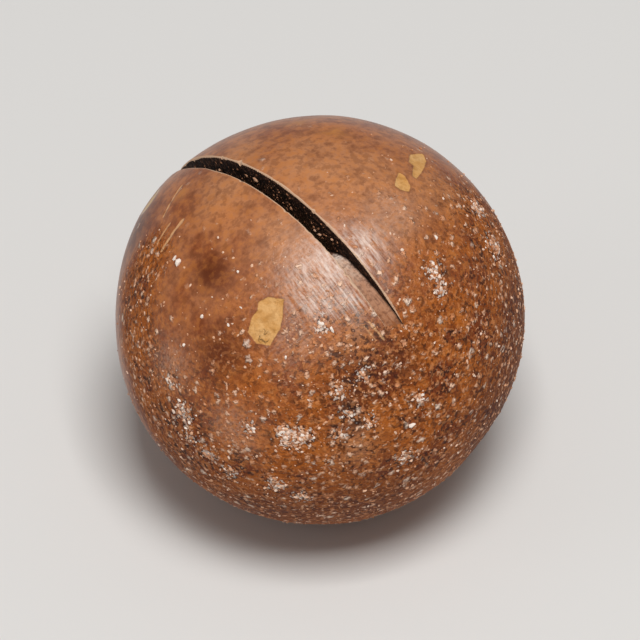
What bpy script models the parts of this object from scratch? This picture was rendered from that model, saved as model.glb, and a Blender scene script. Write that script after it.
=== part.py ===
# A roasted macadamia nut in its shell, sawn open by a narrow slit so that a key can crack it.
# Metres, +Z up. The nut rests at z = 0 on a small flat spot, and the middle of its box is over the origin.
# Directions on the nut are unit vectors from its middle, and arcs on it are lengths along its surface.

import math

import bmesh
import bpy
from mathutils import Matrix, Vector

MM = 0.001

# Shell
NUT_RADIUS = 12.5 * MM
WALL = 2.4 * MM
SWELL = 0.06 * MM
REST_DEPTH = 0.23 * MM

# Stalk scar: a shallow rough saucer on a slightly flattened end, with a raised spot beside its middle
SCAR_AZIMUTH = math.radians(-22.5)
SCAR_ELEVATION = math.radians(-28)
SCAR_RADIUS = 2.75 * MM
SCAR_RIM = 0.8 * MM
SCAR_DEPTH = 0.25 * MM
SPOT_RADIUS = 1.3 * MM
SPOT_HEIGHT = 0.2 * MM
SPOT_SHIFT = 0.5 * MM
END_FLATNESS = 0.25 * MM
END_SPREAD = 5.5 * MM

# Tip: a slight point at the other end, with a small pit in it
TIP_HEIGHT = 0.3 * MM
TIP_SPREAD = 4.0 * MM
PIT_DEPTH = 0.45 * MM
PIT_SPREAD = 0.6 * MM

# Slit: sawn by a thin blade that follows the nut. At both ends its floor rises to the skin in two
# slopes, a steep one up to a ledge and a slow one along it. Angles run in the slit's plane, from the top
SLIT_AZIMUTH = math.radians(42.0)
SLIT_LEAN = math.radians(5.6)
SLIT_OFFSET = -1.46 * MM
SLIT_WIDTH = 1.05 * MM
SLIT_DEPTH = 2.65 * MM
SLIT_NEAR_END = math.radians(48.2)
SLIT_FAR_END = math.radians(-101.8)
SLIT_RUN_OUT = math.radians(33)
LEDGE_LENGTH = math.radians(25)
LEDGE_DEPTH = 1.15 * MM
BLADE_CLEARANCE = 0.6 * MM

# Kernel: loose in the shell, so it lies low in the hollow
KERNEL_GAP = 0.75 * MM
KERNEL_DROP = 0.45 * MM
KERNEL_TIP = 0.25 * MM
KERNEL_TIP_SPREAD = 4.5 * MM

# Subdivisions of the spheres that the round surfaces start from
OUTER_LEVEL = 5
INNER_LEVEL = 4
ARC_STEP = math.radians(3)

SHELL_COLOUR = (0.305, 0.130, 0.065, 1)
KERNEL_COLOUR = (0.730, 0.545, 0.330, 1)


def direction(azimuth, elevation):
    flat = math.cos(elevation)
    return Vector((flat * math.cos(azimuth), flat * math.sin(azimuth), math.sin(elevation)))


SCAR = direction(SCAR_AZIMUTH, SCAR_ELEVATION)
TIP = -SCAR
SLIT_NORMAL = direction(SLIT_AZIMUTH, SLIT_LEAN)
SLIT_TOP = (Vector((0, 0, 1)) - SLIT_NORMAL * SLIT_NORMAL.z).normalized()
SLIT_SIDE = SLIT_NORMAL.cross(SLIT_TOP)
SPOT = (SCAR + SLIT_NORMAL.cross(SCAR).normalized() * (SPOT_SHIFT / NUT_RADIUS)).normalized()


def arc_from(pole, way):
    return NUT_RADIUS * pole.angle(way)


def bump(arc, spread):
    return math.exp(-((arc / spread) ** 2))


def plateau(arc, radius, rim):
    t = min(max((radius - arc) / rim, 0), 1)
    return t * t * (3 - 2 * t)


# The uneven roundness of a grown shell
def swelling(way):
    across = math.sin(2.6 * way.x + 0.8) * math.cos(2.1 * way.y - 0.5)
    return SWELL * (across + 0.6 * math.sin(3.3 * way.z + 1.9))


def outer_radius(way):
    from_scar = arc_from(SCAR, way)
    from_tip = arc_from(TIP, way)
    scar = SPOT_HEIGHT * plateau(arc_from(SPOT, way), SPOT_RADIUS, SCAR_RIM)
    scar -= SCAR_DEPTH * plateau(from_scar, SCAR_RADIUS, SCAR_RIM)
    ends = TIP_HEIGHT * bump(from_tip, TIP_SPREAD) - END_FLATNESS * bump(from_scar, END_SPREAD)
    return NUT_RADIUS + swelling(way) + ends + scar - PIT_DEPTH * bump(from_tip, PIT_SPREAD)


def hollow_radius(way):
    return NUT_RADIUS - WALL + swelling(way)


def kernel_radius(way):
    return NUT_RADIUS - WALL - KERNEL_GAP + KERNEL_TIP * bump(arc_from(TIP, way), KERNEL_TIP_SPREAD)


# Splits the edges near a pole in two, so that small forms there get small faces
def refine(bm, pole, reach):
    near = [edge for edge in bm.edges if all(arc_from(pole, v.co) < reach for v in edge.verts)]
    bmesh.ops.subdivide_edges(bm, edges=near, cuts=1, use_grid_fill=True)
    for vert in bm.verts:
        vert.co.normalize()


# A sphere of unit directions, shaped by a radius for each direction
def round_mesh(name, level, radius, refined=()):
    bm = bmesh.new()
    bmesh.ops.create_icosphere(bm, subdivisions=level, radius=1)
    for pole, reach in refined:
        refine(bm, pole, reach)
    for vert in bm.verts:
        way = vert.co.normalized()
        vert.co = way * radius(way)
    bmesh.ops.triangulate(bm, faces=bm.faces)
    mesh = bpy.data.meshes.new(name)
    bm.to_mesh(mesh)
    bm.free()
    mesh.shade_smooth()
    return mesh


def slit_point(radius, angle):
    return Vector((radius * math.sin(angle), radius * math.cos(angle)))


# Radius of the skin in the slit's plane
def slit_skin(angle):
    point = slit_point(math.sqrt(NUT_RADIUS**2 - SLIT_OFFSET**2), angle)
    way = (SLIT_NORMAL * SLIT_OFFSET + SLIT_SIDE * point.x + SLIT_TOP * point.y).normalized()
    return math.sqrt(outer_radius(way)**2 - SLIT_OFFSET**2)


# Depth of the floor below the skin, less than nothing where the blade is out of the nut
def slit_depth(angle):
    from_end = min(angle - SLIT_FAR_END, SLIT_NEAR_END - angle)
    slope = min(max((from_end - LEDGE_LENGTH) / (SLIT_RUN_OUT - LEDGE_LENGTH), 0), 1)
    return LEDGE_DEPTH * min(from_end / LEDGE_LENGTH, 1) + (SLIT_DEPTH - LEDGE_DEPTH) * slope


# Angles from one to another, in even steps
def angles_between(first, last):
    steps = math.ceil(abs(last - first) / ARC_STEP)
    return [first + (last - first) * i / steps for i in range(steps + 1)]


# The flat area that the blade sweeps: the floor from end to end, and back outside the nut
def slit_outline():
    overrun = LEDGE_LENGTH * BLADE_CLEARANCE / LEDGE_DEPTH
    angles = angles_between(SLIT_FAR_END - overrun, SLIT_NEAR_END + overrun)
    floor = [slit_point(slit_skin(angle) - slit_depth(angle), angle) for angle in angles]
    outside = NUT_RADIUS + 2 * BLADE_CLEARANCE
    return floor + [slit_point(outside, angle) for angle in angles[-2:0:-1]]


# Turns a plane's own X, Y and Z into the slit's side, top and normal
def slit_matrix(middle):
    turned = Matrix((SLIT_SIDE, SLIT_TOP, -SLIT_NORMAL)).transposed().to_4x4()
    return Matrix.Translation(middle + SLIT_NORMAL * SLIT_OFFSET) @ turned


def add_object(name, mesh, collection, material=None):
    obj = bpy.data.objects.new(name, mesh)
    collection.objects.link(obj)
    if material:
        mesh.materials.append(material)
    return obj


def as_helper(obj):
    obj.hide_render = True
    obj.display_type = "WIRE"
    return obj


# The slit's outline as a curve, filled and extruded to the blade's thickness, then made a mesh
def add_blade_cutter(collection, middle):
    curve = bpy.data.curves.new("blade_path", "CURVE")
    curve.dimensions = "2D"
    curve.fill_mode = "BOTH"
    curve.extrude = SLIT_WIDTH / 2
    points = slit_outline()
    spline = curve.splines.new("POLY")
    spline.points.add(len(points) - 1)
    spline.use_cyclic_u = True
    for spline_point, point in zip(spline.points, points):
        spline_point.co = (point.x, point.y, 0, 1)
    guide = add_object("blade_path", curve, collection)
    evaluated = guide.evaluated_get(bpy.context.evaluated_depsgraph_get())
    mesh = bpy.data.meshes.new_from_object(evaluated)
    bpy.data.objects.remove(guide)
    bm = bmesh.new()
    bm.from_mesh(mesh)
    bmesh.ops.remove_doubles(bm, verts=bm.verts, dist=0.001 * MM)
    bmesh.ops.recalc_face_normals(bm, faces=bm.faces)
    bm.to_mesh(mesh)
    bm.free()
    cutter = add_object("blade_cutter", mesh, collection)
    cutter.matrix_world = slit_matrix(middle)
    return as_helper(cutter)


def add_rest_cutter(collection):
    bm = bmesh.new()
    bmesh.ops.create_cube(bm, size=NUT_RADIUS)
    mesh = bpy.data.meshes.new("rest_cutter")
    bm.to_mesh(mesh)
    bm.free()
    cutter = add_object("rest_cutter", mesh, collection)
    cutter.location.z = -NUT_RADIUS / 2
    return as_helper(cutter)


def add_hollow_cutter(collection, middle):
    cutter = add_object("hollow_cutter", round_mesh("hollow_cutter", INNER_LEVEL, hollow_radius), collection)
    cutter.location = middle
    return as_helper(cutter)


def cut(obj, cutter):
    boolean = obj.modifiers.new(cutter.name, "BOOLEAN")
    boolean.operation = "DIFFERENCE"
    boolean.solver = "EXACT"
    boolean.object = cutter


# Puts the middle of the mesh's box over the origin, and the flat spot's height at z = 0
def resting_middle(mesh):
    spans = [(min(v.co[axis] for v in mesh.vertices), max(v.co[axis] for v in mesh.vertices)) for axis in (0, 1)]
    x, y = (-(low + high) / 2 for low, high in spans)
    lowest = min(v.co.z for v in mesh.vertices)
    return Vector((x, y, -lowest - REST_DEPTH))


def make_material(name, colour, roughness):
    material = bpy.data.materials.new(name)
    material.use_nodes = True
    shader = material.node_tree.nodes["Principled BSDF"]
    shader.inputs["Base Color"].default_value = colour
    shader.inputs["Roughness"].default_value = roughness
    shader.inputs["Metallic"].default_value = 0
    return material


def build_shell(parts, cutters):
    refined = ((SCAR, 5 * MM), (TIP, 3 * MM), (TIP, 1.5 * MM))
    mesh = round_mesh("shell", OUTER_LEVEL, outer_radius, refined)
    middle = resting_middle(mesh)
    shell = add_object("shell", mesh, parts, make_material("roasted_shell", SHELL_COLOUR, 0.5))
    shell.location = middle
    cut(shell, add_hollow_cutter(cutters, middle))
    cut(shell, add_blade_cutter(cutters, middle))
    cut(shell, add_rest_cutter(cutters))
    return shell


def build_kernel(parts, shell):
    mesh = round_mesh("kernel", INNER_LEVEL, kernel_radius)
    kernel = add_object("kernel", mesh, parts, make_material("roasted_kernel", KERNEL_COLOUR, 0.45))
    kernel.location = shell.location - Vector((0, 0, KERNEL_DROP))


def new_collection(name):
    collection = bpy.data.collections.new(name)
    bpy.context.scene.collection.children.link(collection)
    return collection


def main():
    for obj in list(bpy.data.objects):
        bpy.data.objects.remove(obj)
    parts = new_collection("macadamia_nut")
    cutters = new_collection("cutters")
    shell = build_shell(parts, cutters)
    build_kernel(parts, shell)


main()
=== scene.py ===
import bmesh
import bpy
import math
import random
from mathutils import Matrix, Vector, noise


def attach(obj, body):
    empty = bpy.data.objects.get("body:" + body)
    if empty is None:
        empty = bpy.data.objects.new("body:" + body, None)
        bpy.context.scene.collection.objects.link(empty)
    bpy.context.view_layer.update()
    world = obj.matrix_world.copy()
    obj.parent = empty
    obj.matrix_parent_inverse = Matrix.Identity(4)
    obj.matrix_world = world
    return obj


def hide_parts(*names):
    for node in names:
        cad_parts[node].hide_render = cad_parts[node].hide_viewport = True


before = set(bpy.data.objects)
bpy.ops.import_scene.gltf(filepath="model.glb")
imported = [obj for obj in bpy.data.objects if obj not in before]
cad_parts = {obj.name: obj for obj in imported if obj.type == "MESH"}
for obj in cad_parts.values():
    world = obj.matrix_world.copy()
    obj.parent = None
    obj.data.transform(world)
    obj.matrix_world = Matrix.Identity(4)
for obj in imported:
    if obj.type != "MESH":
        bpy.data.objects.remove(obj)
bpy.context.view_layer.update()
mm = 0.001
noneNear = 2 * mm               # stands for any larger distance from a small form

# How the nut stands in the picture, in its pixels, and how steeply the camera looks down on it
picture = {
    "middle": (274.2, 290.3),
    "radius": 72.5,
    "tilt": math.radians(46),
}

# The nut: sizes as in the solids
nut = {
    "radius": 12.5 * mm,
    "wall": 2.4 * mm,
    "swell": 0.06 * mm,
    "restDepth": 0.23 * mm,
    "fineLevel": 7,
    "coarseLevel": 5,
    # shallow unevenness, and the fine unevenness of the gritty side: height, size
    "dents": (0.035 * mm, 4.5 * mm),
    "pebbles": (0.025 * mm, 0.75 * mm),
    # the gritty side and the run of the streaks: across and up the picture, and towards the camera
    "grittySide": (0.62, -0.72, 0.3),
    "streaks": (0.77, 0.64, 0.0),
    "pebblesFrom": -0.1,        # how far a place faces the gritty side where pebbles start
    "pebblesOver": 0.8,         # and how much further they are full
    "sharpAngle": math.radians(50),
}

scar = {
    "azimuth": math.radians(-22.5),
    "elevation": math.radians(-28),
    "radius": 2.75 * mm,
    "rim": 0.8 * mm,
    "depth": 0.25 * mm,
    "spotRadius": 1.3 * mm,
    "spotHeight": 0.2 * mm,
    "spotShift": 0.5 * mm,
    "flatness": 0.25 * mm,
    "spread": 5.5 * mm,
    "roughness": 0.09 * mm,
    "grainSize": 0.6 * mm,
    "grainPast": 0.3 * mm,
}

tip = {
    "height": 0.3 * mm,
    "spread": 4.0 * mm,
    "pitDepth": 0.45 * mm,
    "pitSpread": 0.6 * mm,
    "reach": 1.5 * mm,
}

# The saw cut. Its floor follows the nut, and at both ends it rises to the skin: steeply up to a ledge,
# slowly along it. Angles run in the plane of the cut, from the top.
slit = {
    "azimuth": math.radians(42.0),
    "lean": math.radians(5.6),
    "offset": -1.46 * mm,
    "width": 1.05 * mm,
    "depth": 2.65 * mm,
    "nearEnd": math.radians(48.2),
    "farEnd": math.radians(-101.8),
    "runOut": math.radians(33),
    "ledgeLength": math.radians(25),
    "ledgeDepth": 1.15 * mm,
    "clearance": 0.6 * mm,
    "step": math.radians(1),
    "chatter": 0.03 * mm,       # unevenness of the floor, and its rate per radian
    "chatterRate": 30,
    "lip": 0.11 * mm,           # wear of the sawn edges
    "lipWear": 0.08 * mm,
    "lipWearLength": 1.4 * mm,
    "lipLeast": 0.05 * mm,
    "lipShare": 0.45,           # the most of the slit's depth that the wear takes
    "lowerLess": 0.06 * mm,     # and how much less at the lower edge
    "lipEnd": 0.01 * mm,        # what is left of it where the slit runs out
    "chips": 0.5 * mm,
    "chipLength": 0.42 * mm,
    "chipsFrom": 0.3,           # noise that a chip starts from
    "chippedPixel": (283.0, 267.0),     # where the lower edge is chipped
    "chippedReach": 2.6 * mm,
    "chippedLength": 0.3 * mm,
    "chippedShare": 0.6,
}


def hexColour(text):
    values = [int(text[i:i + 2], 16) / 255 for i in (1, 3, 5)]
    return tuple(v / 12.92 if v <= 0.04045 else ((v + 0.055) / 1.055) ** 2.4 for v in values) + (1,)


def direction(azimuth, elevation):
    flat = math.cos(elevation)
    return Vector((flat * math.cos(azimuth), flat * math.sin(azimuth), math.sin(elevation)))


toCamera = direction(math.radians(-90), picture["tilt"])
pictureRight = Vector((1, 0, 0))
pictureUp = toCamera.cross(pictureRight)


# A place or a direction given across and up the picture, and towards the camera
def fromPicture(x, y, z):
    return pictureRight * x + pictureUp * y + toCamera * z


scarWay = direction(scar["azimuth"], scar["elevation"])
tipWay = -scarWay
slitNormal = direction(slit["azimuth"], slit["lean"])
slitTop = (Vector((0, 0, 1)) - slitNormal * slitNormal.z).normalized()
slitSide = slitNormal.cross(slitTop)
spotSide = slitNormal.cross(scarWay).normalized()
spotWay = (scarWay + spotSide * (scar["spotShift"] / nut["radius"])).normalized()
grittyWay = fromPicture(*nut["grittySide"]).normalized()
streakWay = fromPicture(*nut["streaks"])


# Where a pixel lies across the picture, from the middle of the nut
def acrossPicture(pixel):
    scale = nut["radius"] / picture["radius"]
    return (pixel[0] - picture["middle"][0]) * scale, (picture["middle"][1] - pixel[1]) * scale


# The direction on the nut that a pixel of the picture shows, and one shifted across the picture
def wayAt(pixel, shift=(0, 0)):
    x, y = acrossPicture(pixel)
    x = (x + shift[0]) / nut["radius"]
    y = (y + shift[1]) / nut["radius"]
    return fromPicture(x, y, math.sqrt(max(0, 1 - x * x - y * y))).normalized()


def arcFrom(pole, way):
    return nut["radius"] * pole.angle(way)


def clamp(t):
    return min(max(t, 0), 1)


def smooth(t):
    t = clamp(t)
    return t * t * (3 - 2 * t)


def bump(arc, spread):
    return math.exp(-((arc / spread) ** 2))


def plateau(arc, radius, rim):
    return smooth((radius - arc) / rim)


# Distance of a point from the line between two others
def lineDistance(point, a, b):
    along = b - a
    return (point - a - along * clamp((point - a).dot(along) / along.length_squared)).length


# A direction drawn between two heights on a ball of radius 1
def randomWay(rng, low, high):
    return direction(rng.uniform(0, 2 * math.pi), math.asin(rng.uniform(low, high)))


def randomStep(rng):
    return Vector([rng.gauss(0, 1) for axis in range(3)])


def swelling(way):
    across = math.sin(2.6 * way.x + 0.8) * math.cos(2.1 * way.y - 0.5)
    return nut["swell"] * (across + 0.6 * math.sin(3.3 * way.z + 1.9))


def plainRadius(way):
    fromScar = arcFrom(scarWay, way)
    fromTip = arcFrom(tipWay, way)
    dish = scar["spotHeight"] * plateau(arcFrom(spotWay, way), scar["spotRadius"], scar["rim"])
    dish -= scar["depth"] * plateau(fromScar, scar["radius"], scar["rim"])
    ends = tip["height"] * bump(fromTip, tip["spread"])
    ends -= scar["flatness"] * bump(fromScar, scar["spread"])
    return nut["radius"] + swelling(way) + ends + dish - tip["pitDepth"] * bump(fromTip, tip["pitSpread"])


def hollowRadius(way):
    return nut["radius"] - nut["wall"] + swelling(way)


# Flakes: places where the thin skin came off and the ochre layer below it shows.
# Outlines run across the picture, in mm from the flake's middle.
flakes = {
    "depth": 0.07 * mm,
    "edge": 0.12 * mm,
    "margin": 0.5 * mm,         # how far around a flake its distance is worked out
    "seen": {
        "middleFlake": {
            "pixel": (255.5, 291.0),
            "outline": [(0.1, 1.5), (1.05, 1.35), (0.98, 0.3), (0.82, -0.45), (0.22, -1.4),
                        (-0.58, -1.3), (-1.1, -0.62), (-0.84, 0.26), (-0.52, 0.7), (-0.42, 1.2)],
        },
        "upperFlake": {
            "pixel": (302.9, 242.3),
            "outline": [(-0.21, 0.56), (0.14, 0.39), (0.49, -0.23), (0.4, -0.58), (-0.12, -0.49),
                        (-0.47, -0.23), (-0.39, 0.21)],
        },
        "rearFlake": {
            "pixel": (308.3, 236.0),
            "outline": [(-0.44, 0.61), (0.35, 0.7), (0.53, 0.18), (0.26, -0.44), (-0.09, -0.88),
                        (-0.35, -0.7), (-0.26, -0.09), (-0.53, 0.18)],
        },
    },
    "hiddenCount": 4,
    "hiddenHeights": (-0.8, 1),
    "behind": -0.05,            # the most that a hidden one faces the camera, and the scar
    "fromScar": 0.75,
    "hiddenLength": (0.8, 2.6),
    "hiddenWidth": (0.4, 0.8),  # of the length
    "hiddenCorners": 9,
    "cornerShift": 0.38,        # of the step between corners
    "cornerReach": (0.68, 1.18),
    "squareness": 0.4,
    "apart": 0.42,              # angle between flakes
    "seed": 12,
}


# A hidden flake's corners: an uneven, angular ring
def flakeRing(rng, length, width):
    corners = flakes["hiddenCorners"]
    ring = []
    for i in range(corners):
        angle = 2 * math.pi * (i + rng.uniform(-flakes["cornerShift"], flakes["cornerShift"])) / corners
        square = max(abs(math.cos(angle)), abs(math.sin(angle))) ** -flakes["squareness"]
        reach = rng.uniform(*flakes["cornerReach"]) * square
        ring.append(Vector((length / 2 * math.cos(angle), width / 2 * math.sin(angle))) * reach)
    return ring


def placeFlakes():
    rng = random.Random(flakes["seed"])
    placed = []
    for flake in flakes["seen"].values():
        way = wayAt(flake["pixel"])
        along = (pictureRight - way * way.x).normalized()
        across = way.cross(along)
        corners = [wayAt(flake["pixel"], (x * mm, y * mm)) * nut["radius"] for x, y in flake["outline"]]
        ring = [Vector((corner.dot(along), corner.dot(across))) for corner in corners]
        placed.append({"way": way, "along": along, "across": across, "ring": ring})
    while len(placed) < len(flakes["seen"]) + flakes["hiddenCount"]:
        way = randomWay(rng, *flakes["hiddenHeights"])
        along = randomStep(rng)
        along = (along - way * along.dot(way)).normalized()
        length = rng.uniform(*flakes["hiddenLength"]) * mm
        clear = all(way.angle(other["way"]) > flakes["apart"] for other in placed)
        if clear and way.dot(toCamera) < flakes["behind"] and way.dot(scarWay) < flakes["fromScar"]:
            ring = flakeRing(rng, length, length * rng.uniform(*flakes["hiddenWidth"]))
            placed.append({"way": way, "along": along, "across": way.cross(along), "ring": ring})
    for flake in placed:
        flake["reach"] = max(corner.length for corner in flake["ring"])
    return placed


# Distance of a flat point from a closed outline, less than nothing inside it
def outlineDistance(point, ring):
    nearest = noneNear
    inside = False
    for a, b in zip(ring, ring[1:] + ring[:1]):
        nearest = min(nearest, lineDistance(point, a, b))
        if (a.y > point.y) != (b.y > point.y):
            if point.x < a.x + (point.y - a.y) / (b.y - a.y) * (b.x - a.x):
                inside = not inside
    return -nearest if inside else nearest


placedFlakes = placeFlakes()


def flakeDistance(way):
    nearest = noneNear
    for flake in placedFlakes:
        if arcFrom(flake["way"], way) < flake["reach"] + flakes["margin"]:
            spot = way * nut["radius"]
            point = Vector((spot.dot(flake["along"]), spot.dot(flake["across"])))
            nearest = min(nearest, outlineDistance(point, flake["ring"]))
    return nearest


# Soft zones of the skin: pixel of the middle, radius in mm
zones = {
    "grit": {
        "leftLimb": ((208, 280), 2.8), "lowLeft": ((217, 322), 3.2), "lower": ((234, 342), 3.0),
        "rightLimb": ((332, 256), 2.6), "underHighlight": ((277, 296), 1.9),
        "leftSide": ((216, 266), 1.9), "leftMiddle": ((211, 298), 2.0),
    },
    # Saw scuffs, which also carry a painted highlight where the highlight falls
    "scuffedAndHighlight": {
        "besideSlit": ((279, 272), 1.9), "besideLedge": ((284.5, 280), 1.5),
        "aboveSlit": ((290.5, 265), 1.3), "underIt": ((272, 281), 1.5),
    },
    # Bloom of dust, which also carries a painted highlight where the highlight falls
    "dust": {
        "highlight": ((276, 272), 3.4), "aboveSlit": ((300, 252), 1.5), "left": ((222, 306), 1.6),
        "centre": ((266, 298), 1.6), "low": ((244, 328), 1.6),
    },
    "orange": {
        "right": ((318, 318), 2.8), "middle": ((300, 300), 2.0), "rightLimb": ((334, 292), 2.2),
        "besideSlit": ((241, 252), 1.2), "top": ((279, 224), 2.0), "low": ((250, 318), 2.0),
        "bottom": ((256, 344), 1.8),
    },
    # Darker patches, and painted shade: the bottom and the right and lower limbs darkened as if in shadow
    "darkPatchAndShade": {
        "bottom": ((292, 356), 3.8), "lowRight": ((336, 322), 3.6), "middle": ((288, 313), 1.5),
        "underSlit": ((303, 305), 1.5), "leftLimb": ((211, 258), 1.6),
        "leftLow": ((240, 302), 1.6), "left": ((236, 274), 1.2), "rightLimb": ((344, 290), 3.4),
        "bottomLeft": ((254, 358), 3.6), "lowLeft": ((222, 340), 2.4),
    },
    "pale": {
        "top": ((272, 234), 3.2), "topRight": ((296, 243), 3.0), "belowSlit": ((262, 262), 2.6),
        "aboveSlit": ((300, 256), 1.6), "low": ((286, 334), 1.6), "leftOfSlit": ((240, 248), 2.2),
        "topLeft": ((244, 234), 1.8), "upperRight": ((316, 246), 1.8),
        "middleLow": ((286, 296), 1.2),
    },
    "worn": {
        "top": ((278.7, 224.2), 0.9), "topLeft": ((266, 221), 0.6), "leftOfSlit": ((226, 246), 0.5),
    },
}
zoneSpots = {name: [(wayAt(pixel), radius * mm) for pixel, radius in spots.values()]
             for name, spots in zones.items()}


def zoneAt(way, name):
    return min(sum(bump(arcFrom(spot, way), radius) for spot, radius in zoneSpots[name]), 1)


# Meal: pale floury crusts of shell dust, and dark stains beside some: pixel of the middle, radius in mm
meal = {
    "crusts": {
        "low": ((263.5, 330.8), 0.75), "lowBeside": ((267.5, 331), 0.65),
        "middleTop": ((289, 309), 0.25), "middle": ((280.8, 315.4), 0.4),
        "middleLow": ((284, 322.8), 0.3), "middleRight": ((291.8, 325.8), 0.4),
        "underMiddle": ((281, 330.2), 0.25),
        "rightUpper": ((314, 273), 0.5), "rightSide": ((316.5, 279.5), 0.4),
        "rightLimb": ((329.6, 251.3), 0.6), "rightEdge": ((335.5, 264), 0.7),
        "leftFirst": ((222.5, 311.5), 0.35), "leftLow": ((226.5, 322.5), 0.6),
        "leftThird": ((229, 331), 0.35),
        "leftFourth": ((243, 343.5), 0.35), "bottomLeft": ((268, 352), 0.4),
        "lowRight": ((304, 338), 0.45), "bottom": ((259, 347.6), 0.5),
        "underHighlight": ((274.6, 291.5), 0.35), "right": ((309, 317.5), 0.25),
        "leftBottom": ((235.5, 337), 0.35), "lowSide": ((249.5, 327.5), 0.3),
    },
    "stains": {
        "upper": ((290, 305.3), 0.4), "middle": ((284.5, 321), 0.65), "right": ((307, 318), 0.45),
        "left": ((284.6, 312.2), 0.4), "under": ((287.2, 326.5), 0.5), "dot": ((280, 317.6), 0.25),
        "leftLow": ((219, 321), 0.5), "low": ((257.3, 331), 0.35), "rightUpper": ((318, 274), 0.35),
    },
    "hiddenCount": 10,
    "hiddenRadius": (0.2, 0.7),
    "hiddenHeights": (-0.9, 0.9),
    "gritChance": (-0.4, 0.7),
    "seed": 5,
    "height": 0.05 * mm,
    "lumpSize": 0.35 * mm,
    "fade": 0.5 * mm,
}


def placeMeal():
    rng = random.Random(meal["seed"])
    placed = [(wayAt(pixel), radius * mm) for pixel, radius in meal["crusts"].values()]
    while len(placed) < len(meal["crusts"]) + meal["hiddenCount"]:
        way = randomWay(rng, *meal["hiddenHeights"])
        if way.dot(toCamera) < 0 and way.dot(grittyWay) > rng.uniform(*meal["gritChance"]):
            placed.append((way, rng.uniform(*meal["hiddenRadius"]) * mm))
    return placed


crusts = placeMeal()
stains = [(wayAt(pixel), radius * mm) for pixel, radius in meal["stains"].values()]


def spotDistance(way, spots):
    return min(arcFrom(spot, way) - radius for spot, radius in spots)


# Scratches: both ends as pixels, and the width in mm
scratchDepth = 0.02 * mm
scratchEdge = 0.05 * mm
scratches = {
    "left": ((218.6, 266), (226.2, 255.2), 0.22),
    "besideIt": ((217, 263.4), (221.6, 256.4), 0.12),
    "leftUpper": ((219.4, 254), (225.8, 243.4), 0.16),
    "besideLedge": ((291, 290.8), (296.6, 297.2), 0.14),
    "underIt": ((289.4, 292.4), (293.6, 297.4), 0.08),
}
scratchLines = [(wayAt(a), wayAt(b), width * mm) for a, b, width in scratches.values()]


# Distance from the nearest scratch's edge
def scratchDistance(way):
    away = [lineDistance(way, a, b) * nut["radius"] - width / 2 for a, b, width in scratchLines]
    return min(away + [noneNear])


# A point in the plane of the cut
def slitPoint(radius, angle):
    return Vector((radius * math.sin(angle), radius * math.cos(angle)))


def slitAngle(point):
    return math.atan2(slitSide.dot(point), slitTop.dot(point))


# A point of that plane, moved aside
def besidePlane(aside, flat):
    return slitNormal * aside + slitSide * flat.x + slitTop * flat.y


# Radius of the skin in the plane of the cut
def slitSkin(angle):
    point = slitPoint(math.sqrt(nut["radius"]**2 - slit["offset"]**2), angle)
    way = besidePlane(slit["offset"], point).normalized()
    return math.sqrt(plainRadius(way)**2 - slit["offset"]**2)


# Depth of the floor below the skin, less than nothing where the blade is out of the nut
def slitDepth(angle):
    fromEnd = min(angle - slit["farEnd"], slit["nearEnd"] - angle)
    slope = clamp((fromEnd - slit["ledgeLength"]) / (slit["runOut"] - slit["ledgeLength"]))
    onLedge = slit["ledgeDepth"] * min(fromEnd / slit["ledgeLength"], 1)
    return onLedge + (slit["depth"] - slit["ledgeDepth"]) * slope


# Distance along the skin from the mouth of the slit, less than nothing inside it
def mouthDistance(point):
    aside = abs(slitNormal.dot(point) - slit["offset"]) - slit["width"] / 2
    angle = slitAngle(point)
    past = max(angle - slit["nearEnd"], slit["farEnd"] - angle) * nut["radius"]
    if aside < 0 and past < 0:
        return max(aside, past)
    return math.hypot(max(aside, 0), max(past, 0))


chippedWay = wayAt(slit["chippedPixel"])
ledgeTurn = slit["nearEnd"] - slit["ledgeLength"] / 2
wayAlongLedge = slitSide * math.cos(ledgeTurn) - slitTop * math.sin(ledgeTurn)


# How far the wear of the sawn edge reaches from the mouth. Bare numbers here only pick a row of the noise.
def lipReach(point):
    along = slitAngle(point) * nut["radius"]
    side = math.copysign(20, slitNormal.dot(point) - slit["offset"])
    wear = noise.noise(Vector((along / slit["lipWearLength"], side, 3.1)))
    chip = max(noise.noise(Vector((along / slit["chipLength"], side, 7.7))) - slit["chipsFrom"], 0)
    most = slit["lipShare"] * slitDepth(slitAngle(point))
    if side < 0:
        rough = slit["chippedShare"] * bump(arcFrom(chippedWay, point), slit["chippedReach"])
        chip += rough * max(noise.noise(Vector((along / slit["chippedLength"], 4.0, 1.3))) + 0.1, 0)
        most -= slit["lowerLess"]
    reach = max(slit["lip"] + slit["lipWear"] * wear + slit["chips"] * chip, slit["lipLeast"])
    return max(min(reach, most), slit["lipEnd"])


# How far the skin sinks beside the slit, as its sawn edge is worn round
def lipDrop(point):
    away = mouthDistance(point)
    radius = lipReach(point)
    if away >= radius:
        return 0
    reach = radius - max(away, 0)
    return radius - math.sqrt(max(radius**2 - reach**2, 0))


def fineRadius(way):
    radius = plainRadius(way)
    spot = way * radius
    height, size = nut["dents"]
    radius += height * noise.fractal(spot / size, 1.0, 2.0, 2)
    height, size = nut["pebbles"]
    gritty = smooth((way.dot(grittyWay) - nut["pebblesFrom"]) / nut["pebblesOver"])
    radius += height * gritty * noise.fractal(spot / size, 1.0, 2.0, 2)
    inScar = plateau(arcFrom(scarWay, way), scar["radius"] + scar["grainPast"], scar["rim"])
    if inScar > 0:
        radius += scar["roughness"] * inScar * noise.fractal(spot / scar["grainSize"], 0.9, 2.1, 3)
    radius -= flakes["depth"] * smooth(-flakeDistance(way) / flakes["edge"])
    radius -= scratchDepth * smooth(-scratchDistance(way) / scratchEdge)
    crust = smooth(0.5 - spotDistance(way, crusts) / meal["fade"])
    if crust > 0:
        lumps = noise.fractal(spot / meal["lumpSize"], 0.9, 2.1, 2)
        radius += meal["height"] * crust * max(lumps + 0.25, 0)
    return radius - lipDrop(way * plainRadius(way))


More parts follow.
